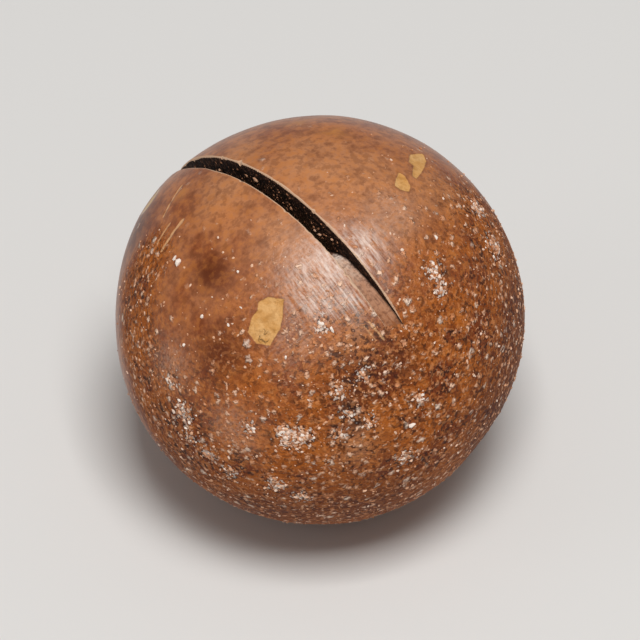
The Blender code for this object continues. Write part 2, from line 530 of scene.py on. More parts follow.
# How near to a small form the faces are small
fineFaces = {
    "insideMouth": 0.25 * mm,
    "outsideMouth": 0.5 * mm,
    "flakeEdge": 0.3 * mm,
    "crust": 0.2 * mm,
    "scratch": 0.25 * mm,
}


def nearMouth(way):
    return -fineFaces["insideMouth"] < mouthDistance(way * nut["radius"]) < fineFaces["outsideMouth"]


def nearSmallForms(way):
    return (arcFrom(scarWay, way) < scar["radius"] + scar["rim"]
            or arcFrom(tipWay, way) < tip["reach"]
            or spotDistance(way, crusts) < fineFaces["crust"]
            or scratchDistance(way) < fineFaces["scratch"]
            or abs(flakeDistance(way) + flakes["edge"] / 2) < fineFaces["flakeEdge"]
            or nearMouth(way))


def refine(bm, isNear):
    fine = {v for v in bm.verts if isNear(v.co)}
    edges = [e for e in bm.edges if e.verts[0] in fine and e.verts[1] in fine]
    bmesh.ops.subdivide_edges(bm, edges=edges, cuts=1, use_grid_fill=True)
    for vert in bm.verts:
        vert.co.normalize()


def roundMesh(level, radiusAt, regions=()):
    bm = bmesh.new()
    bmesh.ops.create_icosphere(bm, subdivisions=level, radius=1)
    for isNear in regions:
        refine(bm, isNear)
    for vert in bm.verts:
        way = vert.co.normalized()
        vert.co = way * radiusAt(way)
    bmesh.ops.triangulate(bm, faces=bm.faces)
    return bm


def newObject(name, data):
    obj = bpy.data.objects.new(name, data)
    bpy.context.scene.collection.objects.link(obj)
    return obj


def meshObject(name, bm, materials):
    mesh = bpy.data.meshes.new(name)
    bm.to_mesh(mesh)
    bm.free()
    for material in materials:
        mesh.materials.append(material)
    return newObject(name, mesh)


# The middle of the nut, with its box over the origin and its flat spot on the floor
def restingMiddle(bm):
    xs = [v.co.x for v in bm.verts]
    ys = [v.co.y for v in bm.verts]
    low = min(v.co.z for v in bm.verts)
    return Vector((-(min(xs) + max(xs)) / 2, -(min(ys) + max(ys)) / 2, -low - nut["restDepth"]))


coarse = roundMesh(nut["coarseLevel"], plainRadius)
middle = restingMiddle(coarse)
coarse.free()
print("middle of the nut, mm:", [round(c / mm, 3) for c in middle])


def setInputs(tree, node, inputs):
    for key, value in inputs.items():
        if isinstance(value, bpy.types.NodeSocket):
            tree.links.new(value, node.inputs[key])
        else:
            node.inputs[key].default_value = value


# Adds a node with its settings and links, and gives the output that is asked for
def addNode(tree, kind, inputs={}, out=0, **settings):
    node = tree.nodes.new("ShaderNode" + kind)
    for name, value in settings.items():
        setattr(node, name, value)
    setInputs(tree, node, inputs)
    return node.outputs[out]


# Adds fields to a value, each by its own share
def addShares(tree, value, field, shares):
    for name, share in shares.items():
        value = addNode(tree, "Math", {0: field[name], 1: share, 2: value}, operation="MULTIPLY_ADD")
    return value


def newMaterial(name):
    material = bpy.data.materials.new(name)
    material.use_nodes = True
    return material, material.node_tree, material.node_tree.nodes["Principled BSDF"]


# Place in millimetres from the middle of the nut
def placeInMm(tree):
    place = addNode(tree, "TexCoord", out="Object")
    fromMiddle = addNode(tree, "VectorMath", {0: place, 1: middle}, operation="SUBTRACT")
    return addNode(tree, "VectorMath", {0: fromMiddle, "Scale": 1 / mm}, operation="SCALE")


def setRamp(socket, stops):
    ramp = socket.node.color_ramp
    ramp.elements[0].position = stops[0][0]
    ramp.elements[-1].position = stops[-1][0]
    for position, colour in stops[1:-1]:
        ramp.elements.new(position)
    for element, (position, colour) in zip(ramp.elements, stops):
        element.color = hexColour(colour)


# Roasted macadamia shell: a hard, dense nutshell with a thin satin skin, tumbled and oven-roasted.
# It gives a soft sheen on chestnut brown, with a pale bloom on one side and gritty pale specks on the
# other. Bloom and scuffs around the highlight are partly painted highlight, the pale specks partly painted
# glints, and the darker bottom and limbs partly painted shade.
skin = {
    "colours": {
        "redBrown": "#924D28", "tanBrown": "#AF6E47", "orangeBrown": "#A9580F", "darkBrown": "#7C3608",
        # dark: colour of the darker patches and of the painted shade at the bottom and the limbs
        "orange": "#B45C0C", "darkPatchAndShade": "#582206", "pale": "#CF9468", "worn": "#C27C38",
        "mottleDark": "#6A300C", "mottlePale": "#BC7236", "fleckDark": "#4A1E06", "fleckPale": "#C87C3A",
        # bloom and scuff: pale bloom and saw scuffs, partly painted highlight
        "bloomAndHighlight": "#C79C84", "scuffAndHighlight": "#F2DCCE", "scratch": "#E2AE7C", "lip": "#E0BC9C",
        # the pale fine and coarse grains: pale grains, partly painted glints of the gritty side
        "fineGrain": "#D98E5C", "fineGrainPaleAndGlint": "#FFD9BC", "coarseGrainAndGlint": "#F8DCC6", "speck": "#D98E56",
        # gap: dark painted shade for the sunken gaps between grains
        "gap": "#341204", "meal": "#F0E2D6", "stain": "#33190F",
        "ochre": "#DFAD70", "ochreDark": "#CC9350", "flakeRim": "#7A4424", "flakeDirt": "#A8702F",
        "scarPale": "#BE8C68", "scarDark": "#7A4A30", "scarRing": "#431F0E",
        "tipPale": "#D9BE98", "pit": "#351607",
    },
    # noise: size in mm, detail, roughness, shift
    "noises": {
        "cloud": (6.0, 2.0, 0.5, 0.0),
        "patchy": (2.4, 4.0, 0.6, 11.0),
        "mottle": (0.9, 4.0, 0.6, 5.0),
        "fleck": (0.5, 3.0, 0.6, 3.0),
        "gap": (0.36, 2.0, 0.6, 29.0),
        "speck": (0.24, 1.5, 0.5, 17.0),
        "grain": (0.12, 2.0, 0.6, 0.0),
    },
    # stretched noise: direction, width in mm, how many times longer
    "stretched": {
        "streak": (streakWay, 0.16, 9.0),
        "sawStreak": (wayAlongLedge, 0.2, 10.0),
        "rows": (streakWay, 0.45, 5.0),
    },
    # what makes a place gritty besides its side, and where the grit starts and is full
    "gritFrom": {"patchy": 0.7, "cloud": 0.7, "grit": 1.15},
    "gritRange": (0.5, 1.35),
    # grains in cells: size of the cells and radius of the grains in mm, shift, share of the cells
    "cells": {
        "fineGrain": (0.48, 0.2, 2.0, 0.85),
        "coarseGrainAndGlint": (0.95, 0.27, 7.0, 0.45),
    },
    "rowRange": (0.4, 0.6),
    "rowShare": 0.45,           # of the grit between the rows
    "cellRim": (1.15, 0.5),     # of the radius: where a grain starts and is full
    "cellUneven": 0.35,
    "cellsAnywhere": 0.05,
    "cellsInCrusts": 0.75,
    "cellFade": 0.1,
    "wobbleSize": 0.25,
    # ragged edges of the forms that the mesh carries: distance, noise, unevenness in mm
    "ragged": {
        "flakeEdge": ("flakeAway", "fleck", 0.14),
        "scratchEdge": ("scratchAway", "fleck", 0.16),
        "crustEdge": ("crustAway", "speck", 3.6),
        "stainEdge": ("stainAway", "fleck", 1.4),
        "scarEdge": ("scarAway", "fleck", 0.7),
        "spotEdge": ("spotAway", "fleck", 0.5),
        "tipEdge": ("tipAway", "fleck", 0.4),
        "lipEdge": ("lipShare", "fleck", 0.7),
    },
    # masks: what each is read from, where it starts and where it is full
    "masks": {
        "tan": ("patchy", 0.38, 0.62),
        "orangeHere": ("patchy", 0.42, 0.6),
        "mottleDark": ("mottle", 0.5, 0.64),
        "mottlePale": ("mottle", 0.48, 0.36),
        "fleckDark": ("fleck", 0.5, 0.6),
        "fleckPale": ("fleck", 0.48, 0.38),
        # the gaps: where the gap noise sinks the skin, painted dark as shade
        "shadedGaps": ("gap", 0.53, 0.6),
        "specks": ("speck", 0.55, 0.6),
        "sawMarks": ("sawStreak", 0.34, 0.66),
        "streakHere": ("streak", 0.42, 0.62),
        "flake": ("flakeEdge", 0.03, -0.03),
        "flakeOutside": ("flakeEdge", 0.16, 0.02),
        "flakeInside": ("flakeEdge", -0.06, 0.0),
        "ochreDark": ("mottle", 0.4, 0.65),
        "scratch": ("scratchEdge", 0.03, -0.03),
        "crust": ("crustEdge", -0.1, -0.35),
        "nearCrust": ("crustAway", 0.5, 0.0),
        "stain": ("stainEdge", 0.1, -0.3),
        "lip": ("lipEdge", 0.07, 0.37),
        "wornHere": ("mottle", 0.36, 0.56),
        "scar": ("scarEdge", 0.1, -0.25),
        "scarRing": ("scarEdge", 0.75, 0.1),
        "scarDark": ("speck", 0.4, 0.62),
        "spotOutside": ("spotEdge", 0.35, 0.0),
        "spotInside": ("spotEdge", -0.45, -0.1),
        "tip": ("tipEdge", 1.0, 0.75),
        "tipPit": ("tipEdge", 0.45, 0.25),
    },
    # masks that are two others multiplied
    "products": {
        "flakeRim": ("flakeOutside", "flakeInside"),
        "spotRim": ("spotOutside", "spotInside"),
        "orangeZone": ("orange", "orangeHere"),
        "wornZone": ("worn", "wornHere"),
        "grittyPale": ("gritty", "fleckPale"),
        "grittyShadedGaps": ("gritty", "shadedGaps"),
        "orangeVeil": ("gritty", "orangeHere"),
        "grittySpecks": ("inRows", "specks"),
        "crustShadedGaps": ("nearCrust", "shadedGaps"),
        "flakeDirt": ("flake", "fleckDark"),
        "scuffsAndHighlight": ("scuffedAndHighlight", "sawMarks"),
        "dustStreaks": ("dust", "streakHere"),
    },
    # blends of two colours: mask, first colour, second colour
    "blends": {
        "smoothSide": ("tan", "redBrown", "tanBrown"),
        "grittySide": ("orangeHere", "darkBrown", "orangeBrown"),
        "fineTint": ("fineGrainTint", "fineGrain", "fineGrainPaleAndGlint"),
        "ochreTint": ("ochreDark", "ochre", "ochreDark"),
        "scarTint": ("scarDark", "scarPale", "scarDark"),
    },
    # layers over the smooth side, from the ground up: mask, share, colour
    "layers": [
        # The dark layers: darker patches, and painted shade at the bottom and the limbs
        ("gritty", 1.0, "grittySide"), ("orangeZone", 0.7, "orange"), ("darkPatchAndShade", 0.8, "darkPatchAndShade"),
        ("pale", 0.5, "pale"), ("mottleDark", 0.34, "mottleDark"), ("mottlePale", 0.35, "mottlePale"),
        ("fleckDark", 0.29, "fleckDark"), ("fleckPale", 0.31, "fleckPale"),
        # The gap layers, here and by the crusts below: painted shade in the sunken gaps between grains
        ("grittyPale", 0.15, "fleckPale"), ("grittyShadedGaps", 0.9, "gap"),
        ("orangeVeil", 0.4, "orangeBrown"), ("darkPatchAndShade", 0.45, "darkPatchAndShade"),
        # Bloom and scuffs: partly painted highlight around the highlight
        ("dust", 0.2, "bloomAndHighlight"), ("dustStreaks", 0.4, "bloomAndHighlight"),
        ("scuffsAndHighlight", 0.78, "scuffAndHighlight"), ("wornZone", 0.8, "worn"), ("stain", 0.8, "stain"),
        # The pale grains: partly painted glints
        ("grittySpecks", 0.5, "speck"), ("fineGrain", 0.9, "fineTint"),
        ("coarseGrainAndGlint", 0.85, "coarseGrainAndGlint"), ("crustShadedGaps", 0.8, "gap"),
        ("crust", 0.6, "meal"), ("scratch", 0.8, "scratch"),
        ("flakeRim", 0.35, "flakeRim"), ("flake", 1.0, "ochreTint"), ("flakeDirt", 0.4, "flakeDirt"),
        ("scarRing", 0.75, "scarRing"), ("scar", 0.85, "scarTint"), ("spotRim", 0.7, "scarRing"),
        ("tip", 0.8, "tipPale"), ("tipPit", 0.9, "pit"), ("lip", 0.75, "lip"),
    ],
    "roughness": (0.3, 0.68),   # on the smooth and on the gritty side
    "rougher": {"mottle": 0.06, "flake": 0.25, "crust": 0.3, "lip": 0.2, "scar": 0.3},
    # heights in mm, with what they grow with: least and most
    "growing": {
        "grain": ("gritty", 0.002, 0.02),
        "streak": ("dust", 0.002, 0.008),
        "sawStreak": ("scuffedAndHighlight", 0.0, 0.015),
        "fleck": ("gritty", -0.006, -0.12),
        "gap": ("gritty", 0.0, -0.16),
        "speck": ("gritty", 0.0, 0.18),
    },
    "heights": {"mottle": 0.012, "fineGrain": 0.09, "coarseGrainAndGlint": 0.14, "crust": 0.06, "flake": -0.02,
                "scratch": -0.02},
    "specular": 0.28,
    "ior": 1.48,
}


def skinMaterial():
    material, tree, shader = newMaterial("roastedShellSkin")
    place = placeInMm(tree)
    field = {}
    for name in [*zones, "flakeAway", "scratchAway", "crustAway", "stainAway", "lipShare", "scarAway",
                 "spotAway", "tipAway"]:
        field[name] = addNode(tree, "Attribute", out="Fac", attribute_name=name)
    for name, (size, detail, roughness, shift) in skin["noises"].items():
        moved = addNode(tree, "Mapping", {"Vector": place, "Location": (shift, -shift, 0.7 * shift)})
        field[name] = addNode(tree, "TexNoise", {
            "Vector": moved, "Scale": 1 / size, "Detail": detail, "Roughness": roughness})

    # Stretched noise: fine brushed streaks, marks along the saw cut, and rows of grains
    for name, (along, width, stretch) in skin["stretched"].items():
        turn = along.to_track_quat("X", "Z").to_euler()
        turned = addNode(tree, "Mapping", {
            "Vector": place, "Rotation": tuple(turn), "Scale": (stretch, 1, 1)}, vector_type="TEXTURE")
        field[name] = addNode(tree, "TexNoise", {
            "Vector": turned, "Scale": 1 / width, "Detail": 3.0, "Roughness": 0.6})

    # How gritty the skin is: by side, by zone, and ragged
    way = addNode(tree, "VectorMath", {0: place}, operation="NORMALIZE")
    grit = addNode(tree, "VectorMath", {0: way, 1: grittyWay}, out="Value", operation="DOT_PRODUCT")
    grit = addShares(tree, grit, field, skin["gritFrom"])
    start, full = skin["gritRange"]
    field["gritty"] = addNode(tree, "MapRange", {"Value": grit, "From Min": start, "From Max": full})
    start, full = skin["rowRange"]
    rows = addNode(tree, "MapRange", {
        "Value": field["rows"], "From Min": start, "From Max": full, "To Min": skin["rowShare"]})
    field["inRows"] = addNode(tree, "Math", {0: field["gritty"], 1: rows}, operation="MULTIPLY")

    for name, (source, noiseName, unevenness) in skin["ragged"].items():
        shifted = addNode(tree, "Math", {0: field[noiseName], 1: 0.5}, operation="SUBTRACT")
        field[name] = addNode(tree, "Math", {0: shifted, 1: unevenness, 2: field[source]},
                              operation="MULTIPLY_ADD")
    for name, (source, start, full) in skin["masks"].items():
        field[name] = addNode(tree, "MapRange", {
            "Value": field[source], "From Min": start, "From Max": full})

    # Grains: round spots in cells, wobbled, and only in some of the cells
    wobble = addNode(tree, "TexNoise", {
        "Vector": place, "Scale": 1 / skin["wobbleSize"], "Detail": 2.0}, out="Color")
    wobbled = addNode(tree, "VectorMath", {0: wobble, 1: (0.5, 0.5, 0.5), 2: place},
                      operation="MULTIPLY_ADD")
    inCrusts = addNode(tree, "Math", {0: field["crust"], 1: skin["cellsInCrusts"]}, operation="MULTIPLY")
    start, full = skin["cellRim"]
    for name, (size, radius, shift, share) in skin["cells"].items():
        moved = addNode(tree, "Mapping", {"Vector": wobbled, "Location": (shift, shift, -shift)})
        away = addNode(tree, "TexVoronoi", {"Vector": moved, "Scale": 1 / size}, out="Distance")
        chance = addNode(tree, "SeparateColor", {"Color": away.node.outputs["Color"]})
        uneven = addNode(tree, "Math", {
            0: chance.node.outputs[1], 1: skin["cellUneven"] * radius / size, 2: away},
            operation="MULTIPLY_ADD")
        body = addNode(tree, "MapRange", {
            "Value": uneven, "From Min": start * radius / size, "From Max": full * radius / size})
        wanted = addNode(tree, "Math", {
            0: field["inRows"], 1: share, 2: skin["cellsAnywhere"]}, operation="MULTIPLY_ADD")
        wanted = addNode(tree, "Math", {0: wanted, 1: inCrusts}, operation="ADD")
        spare = addNode(tree, "Math", {0: wanted, 1: chance}, operation="SUBTRACT")
        present = addNode(tree, "MapRange", {"Value": spare, "From Max": skin["cellFade"]})
        field[name] = addNode(tree, "Math", {0: body, 1: present}, operation="MULTIPLY")
        field[name + "Tint"] = chance.node.outputs[2]

    for name, (a, b) in skin["products"].items():
        field[name] = addNode(tree, "Math", {0: field[a], 1: field[b]}, operation="MULTIPLY")
    paint = {name: hexColour(text) for name, text in skin["colours"].items()}
    for name, (mask, first, second) in skin["blends"].items():
        paint[name] = addNode(tree, "Mix", {0: field[mask], 6: paint[first], 7: paint[second]},
                              out=2, data_type="RGBA")
    colour = paint["smoothSide"]
    for mask, share, over in skin["layers"]:
        amount = addNode(tree, "Math", {0: field[mask], 1: share}, operation="MULTIPLY")
        colour = addNode(tree, "Mix", {0: amount, 6: colour, 7: paint[over]}, out=2, data_type="RGBA")

    least, most = skin["roughness"]
    rough = addNode(tree, "MapRange", {"Value": field["gritty"], "To Min": least, "To Max": most})
    rough = addShares(tree, rough, field, skin["rougher"])
    heights = {}
    for name, (cause, least, most) in skin["growing"].items():
        heights[name] = addNode(tree, "MapRange", {
            "Value": field[cause], "To Min": least, "To Max": most})
    height = addShares(tree, 0, field, heights | skin["heights"])
    relief = addNode(tree, "Bump", {"Height": height, "Distance": mm, "Strength": 1.0})
    setInputs(tree, shader, {
        "Base Color": colour, "Roughness": rough, "Normal": relief, "IOR": skin["ior"],
        "Specular IOR Level": skin["specular"]})
    return material


# Sawn shell: dense stony tissue cut by a fast thin blade, so its walls are scorched dark brown, and
# painted near black as shade in the narrow slit; its floor is dusty and pale where the cut is shallow,
# and darker deeper down.
sawn = {
    # wall: scorched, and painted near black as shade
    "wall": [(0.0, "#2E170D"), (0.35, "#160A06"), (0.6, "#2A160D"), (1.0, "#140A06")],
    "floor": [(0.0, "#8E5632"), (0.1, "#B07C5C"), (0.3, "#BE8E72"), (0.42, "#D8B49C"), (0.56, "#F0DACA"),
              (0.8, "#8A6250"), (1.0, "#301A11")],
    "reach": 2.6,               # depth in mm at the end of both
    "unevenness": 0.3,
    # noise: size in mm, detail, roughness
    "noises": {"grain": (0.22, 3.0, 0.5), "streak": (0.5, 4.0, 0.7), "line": (0.16, 3.0, 0.6)},
    "lineStretch": 9.0,
    "turned": (0.3, 0.7),       # how far a face turns aside to count as wall
    # layers: side, mask, where it starts and is full, share, colour. The corner is a dark strip of the
    # floor along the wall, painted shade where the wall shades the floor, measured from the wall in mm
    "layers": [
        ("floor", "line", 0.5, 0.64, 0.45, "#5E3524"),
        ("floor", "grain", 0.5, 0.66, 0.5, "#5E3524"),
        ("floor", "corner", -0.16, -0.02, 1.0, "#24120A"),
        ("wall", "grain", 0.52, 0.66, 0.7, "#6E4A36"),
    ],
    "cornerUneven": 0.12,
    "heights": {"grain": 0.04, "streak": 0.08, "line": 0.06},
    "roughness": 0.75,
    "specular": 0.2,
}


def sawnMaterial():
    material, tree, shader = newMaterial("sawnShell")
    place = placeInMm(tree)
    length = addNode(tree, "VectorMath", {0: place}, out="Value", operation="LENGTH")
    deep = addNode(tree, "MapRange", {
        "Value": length, "From Min": nut["radius"] / mm, "From Max": nut["radius"] / mm - sawn["reach"]})
    normal = addNode(tree, "NewGeometry", out="Normal")
    facing = addNode(tree, "VectorMath", {0: normal, 1: slitNormal}, out="Value", operation="DOT_PRODUCT")
    aside = addNode(tree, "Math", {0: facing}, operation="ABSOLUTE")
    wallShare = addNode(tree, "MapRange", {
        "Value": aside, "From Min": sawn["turned"][0], "From Max": sawn["turned"][1]})
    turn = wayAlongLedge.to_track_quat("X", "Z").to_euler()
    turned = addNode(tree, "Mapping", {
        "Vector": place, "Rotation": tuple(turn), "Scale": (sawn["lineStretch"], 1, 1)},
        vector_type="TEXTURE")
    field = {}
    for name, (size, detail, roughness) in sawn["noises"].items():
        source = turned if name == "line" else place
        field[name] = addNode(tree, "TexNoise", {
            "Vector": source, "Scale": 1 / size, "Detail": detail, "Roughness": roughness})
    # The corner strip: painted shade on the floor along the far wall
    across = addNode(tree, "VectorMath", {0: place, 1: slitNormal}, out="Value", operation="DOT_PRODUCT")
    ragged = addNode(tree, "Math", {0: field["grain"], 1: sawn["cornerUneven"], 2: across},
                     operation="MULTIPLY_ADD")
    wallAt = (slit["offset"] + slit["width"] / 2) / mm + sawn["cornerUneven"] / 2
    field["corner"] = addNode(tree, "Math", {0: ragged, 1: wallAt}, operation="SUBTRACT")

    uneven = addNode(tree, "Math", {0: field["streak"], 1: field["line"]}, operation="ADD")
    uneven = addNode(tree, "Math", {0: uneven, 1: 1.0}, operation="SUBTRACT")
    uneven = addNode(tree, "Math", {0: uneven, 1: sawn["unevenness"], 2: deep}, operation="MULTIPLY_ADD")
    sides = {}
    for side in ("floor", "wall"):
        sides[side] = addNode(tree, "ValToRGB", {0: uneven})
        setRamp(sides[side], sawn[side])
    for side, mask, start, full, share, paint in sawn["layers"]:
        amount = addNode(tree, "MapRange", {
            "Value": field[mask], "From Min": start, "From Max": full, "To Max": share})
        sides[side] = addNode(tree, "Mix", {0: amount, 6: sides[side], 7: hexColour(paint)},
                              out=2, data_type="RGBA")
    colour = addNode(tree, "Mix", {0: wallShare, 6: sides["floor"], 7: sides["wall"]}, out=2,
                     data_type="RGBA")
    height = addShares(tree, 0, field, sawn["heights"])
    relief = addNode(tree, "Bump", {"Height": height, "Distance": mm})
    setInputs(tree, shader, {
        "Base Color": colour, "Normal": relief, "Roughness": sawn["roughness"],
        "Specular IOR Level": sawn["specular"]})
    return material


# Inner lining of the shell: smooth and hard, as it grew against the kernel, so dark and half glossy
lining = {
    "colours": [(0.4, "#3A1D10"), (0.65, "#6E4426")],
    "patches": (2.8, 4.0, 0.5),     # noise: size in mm, detail, roughness
    "roughness": 0.4,
}


# A material of one roughness, with patches in its colour. A piece may carry its own shade for each part.
def patchyMaterial(name, look):
    material, tree, shader = newMaterial(name)
    place = placeInMm(tree)
    size, detail, roughness = look["patches"]
    tone = addNode(tree, "TexNoise", {
        "Vector": place, "Scale": 1 / size, "Detail": detail, "Roughness": roughness})
    if "shadeFrom" in look:
        shade = addNode(tree, "Attribute", out="Fac", attribute_name=look["shadeFrom"])
        tone = addNode(tree, "Math", {0: tone, 1: look["patchShare"], 2: shade}, operation="MULTIPLY_ADD")
    colour = addNode(tree, "ValToRGB", {0: tone})
    setRamp(colour, look["colours"])
    setInputs(tree, shader, {"Base Color": colour, "Roughness": look["roughness"]})
    return material, tree, shader, place


# Outline of what the blade sweeps, in the plane of the cut: the floor from end to end, and back outside
def sweptOutline():
    overrun = slit["ledgeLength"] * slit["clearance"] / slit["ledgeDepth"]
    first = slit["farEnd"] - overrun
    last = slit["nearEnd"] + overrun
    steps = math.ceil((last - first) / slit["step"])
    angles = [first + (last - first) * i / steps for i in range(steps + 1)]
    floor = []
    for angle in angles:
        chatter = slit["chatter"] * noise.noise(Vector((angle * slit["chatterRate"], 2.2, 0.4)))
        floor.append(slitPoint(slitSkin(angle) - slitDepth(angle) + chatter, angle))
    outside = nut["radius"] + 2 * slit["clearance"]
    return floor + [slitPoint(outside, angle) for angle in angles[-2:0:-1]]


def bladeCutter(material):
    bm = bmesh.new()
    half = slitNormal * (slit["width"] / 2)
    base = slitNormal * slit["offset"] - half
    ring = [bm.verts.new(base + slitSide * p.x + slitTop * p.y) for p in sweptOutline()]
    edges = [bm.edges.new((a, b)) for a, b in zip(ring, ring[1:] + ring[:1])]
    filled = bmesh.ops.triangle_fill(bm, edges=edges, use_beauty=True)
    faces = [g for g in filled["geom"] if isinstance(g, bmesh.types.BMFace)]
    raised = bmesh.ops.extrude_face_region(bm, geom=faces, use_keep_orig=True)
    moved = [g for g in raised["geom"] if isinstance(g, bmesh.types.BMVert)]
    bmesh.ops.translate(bm, verts=moved, vec=half * 2)
    bmesh.ops.recalc_face_normals(bm, faces=bm.faces)
    return meshObject("bladeCutter", bm, [material])


def restCutter(material):
    bm = bmesh.new()
    bmesh.ops.create_cube(bm, size=nut["radius"])
    bmesh.ops.translate(bm, verts=bm.verts, vec=Vector((0, 0, -nut["radius"] / 2)) - middle)
    return meshObject("restCutter", bm, [material])


def cutAway(obj, cutter):
    boolean = obj.modifiers.new(cutter.name, "BOOLEAN")
    boolean.operation = "DIFFERENCE"
    boolean.solver = "MANIFOLD"
    boolean.object = cutter


# Applies the modifiers, moves the mesh to its place, and removes the cutters
def settle(obj, helpers=()):
    evaluated = obj.evaluated_get(bpy.context.evaluated_depsgraph_get())
    mesh = bpy.data.meshes.new_from_object(evaluated)
    obj.modifiers.clear()
    obj.data = mesh
    mesh.transform(Matrix.Translation(middle))
    for helper in helpers:
        bpy.data.objects.remove(helper)
    return obj


# What the skin's material reads at each point of the mesh
def skinFields(point):
    way = point.normalized()
    away = mouthDistance(point)
    fields = {name: zoneAt(way, name) for name in zones}
    fields["flakeAway"] = flakeDistance(way) / mm
    fields["scratchAway"] = scratchDistance(way) / mm
    fields["crustAway"] = spotDistance(way, crusts) / mm
    fields["stainAway"] = spotDistance(way, stains) / mm
    fields["lipShare"] = max(1 - abs(away) / lipReach(point), -1)
    fields["scarAway"] = (arcFrom(scarWay, way) - scar["radius"]) / mm
    fields["spotAway"] = (arcFrom(spotWay, way) - scar["spotRadius"]) / mm
    fields["tipAway"] = arcFrom(tipWay, way) / mm
    return fields


def addFields(mesh):
    found = [skinFields(v.co - middle) for v in mesh.vertices]
    for name in found[0]:
        layer = mesh.attributes.new(name, "FLOAT", "POINT")
        layer.data.foreach_set("value", [fields[name] for fields in found])


def buildShell():
    cutFace = sawnMaterial()
    inside = patchyMaterial("shellLining", lining)[0]
    outer = skinMaterial()
    bm = roundMesh(nut["fineLevel"], fineRadius, (nearSmallForms, nearMouth))
    shell = meshObject("fineShell", bm, [outer, cutFace, inside])
    hollow = meshObject("hollowCutter", roundMesh(nut["coarseLevel"], hollowRadius), [inside])
    blade = bladeCutter(cutFace)
    rest = restCutter(outer)
    for cutter in (hollow, blade, rest):
        cutAway(shell, cutter)
    settle(shell, (hollow, blade, rest))
    mesh = shell.data
    addFields(mesh)
    mesh.shade_smooth()
    mesh.set_sharp_from_angle(angle=nut["sharpAngle"])
    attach(shell, "root")
    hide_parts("shell")
    print("shell done, triangles:", sum(len(p.vertices) - 2 for p in mesh.polygons))


# Crumbs of shell: loose grains on the skin, and sawdust in the slit. Radii in mm.
crumbs = {
    "seed": 9,
    "inCrusts": 900,
    "inCrustTones": (0, 0.9),
    "crustSpread": 0.6,         # of the crust's radius
    "scattered": 2200,
    "scatteredTones": (0.1, 0.7),
    "scatteredScale": 0.8,
    "gritChance": (-0.25, 0.6),
    "radius": (0.05, 0.15),
    "sides": ((0.8, 1.5), (0.6, 1.0), (0.45, 0.8)),
    "dents": 0.22,
    "sunk": 0.1,
    "fromSlit": 0.3 * mm,
    "aboveFloor": 0.4 * mm,
    "batch": 60,                # made at a time
    "alone": {
        "leftBright": ((224.6, 270.2), 0.28), "leftBeside": ((223.4, 268.6), 0.16),
        "leftDot": ((233.4, 289.1), 0.17), "lowRight": ((306.2, 326.9), 0.2),
        "leftLow": ((227, 299), 0.13), "upperLeft": ((245.8, 273.5), 0.1),
        "nearFlake": ((242.5, 292), 0.12), "underHighlight": ((274.6, 291.5), 0.2),
        "besideIt": ((278.4, 293.6), 0.15), "underFlake": ((262.3, 303.2), 0.13),
        "flakeSide": ((246.8, 286), 0.09), "rightUpper": ((314.5, 261.5), 0.13),
    },
    "inSlit": {
        "first": ((239, 237.6), 0.15), "second": ((248.6, 239.8), 0.11),
        "third": ((251.9, 241.4), 0.17), "fourth": ((264.2, 251.5), 0.13),
        "fifth": ((272.5, 259.2), 0.14), "sixth": ((274.2, 260.6), 0.16),
        "seventh": ((278.4, 262.4), 0.13),
    },
    "inSlitTones": (0.2, 0.6),
    "sawdust": 150,
    "sawdustRadius": (0.03, 0.09),
    "sawdustTones": (-0.2, 0.25),
    "sawdustAngles": (math.radians(-62), math.radians(20)),
    "sawdustDepth": (0.3 * mm, 2.2 * mm),
}


# Crumbs of nutshell: broken stony tissue with flour on it, so dull and pale, from tan to nearly white
crumb = {
    "colours": [(0.0, "#6B4128"), (0.35, "#C78A62"), (0.65, "#E3B18D"), (1.0, "#F6E6D8")],
    "shadeFrom": "shade",
    "patches": (1 / 12, 2.0, 0.5),
    "patchShare": 0.3,
    "roughness": 0.75,
}


# One crumb: a squashed, turned and dented ball of few faces
def addCrumb(bm, rng, point, way, size, tone):
    turn = way.to_track_quat("Z", "Y").to_matrix() @ Matrix.Rotation(rng.uniform(0, 2 * math.pi), 3, "Z")
    sides = Matrix.Diagonal([rng.uniform(*side) for side in crumbs["sides"]]) * size
    place = Matrix.Translation(point) @ (turn @ sides).to_4x4()
    made = bmesh.ops.create_icosphere(bm, subdivisions=1, radius=1, matrix=place)
    shade = bm.verts.layers.float[crumb["shadeFrom"]]
    for vert in made["verts"]:
        vert.co += Vector([rng.uniform(-1, 1) for axis in range(3)]) * (size * crumbs["dents"])
        vert[shade] = tone


# All the crumbs of a piece, made in small batches, as the operator slows down on a big mesh
def crumbPiece(name, rng, grains, material):
    bm = bmesh.new()
    for first in range(0, len(grains), crumbs["batch"]):
        few = bmesh.new()
        few.verts.layers.float.new(crumb["shadeFrom"])
        for grain in grains[first:first + crumbs["batch"]]:
            addCrumb(few, rng, *grain)
        mesh = bpy.data.meshes.new("batch")
        few.to_mesh(mesh)
        few.free()
        bm.from_mesh(mesh)
        bpy.data.meshes.remove(mesh)
    piece = meshObject(name, bm, [material])
    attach(piece, "root")
    print(name, "done, triangles:", len(piece.data.polygons))


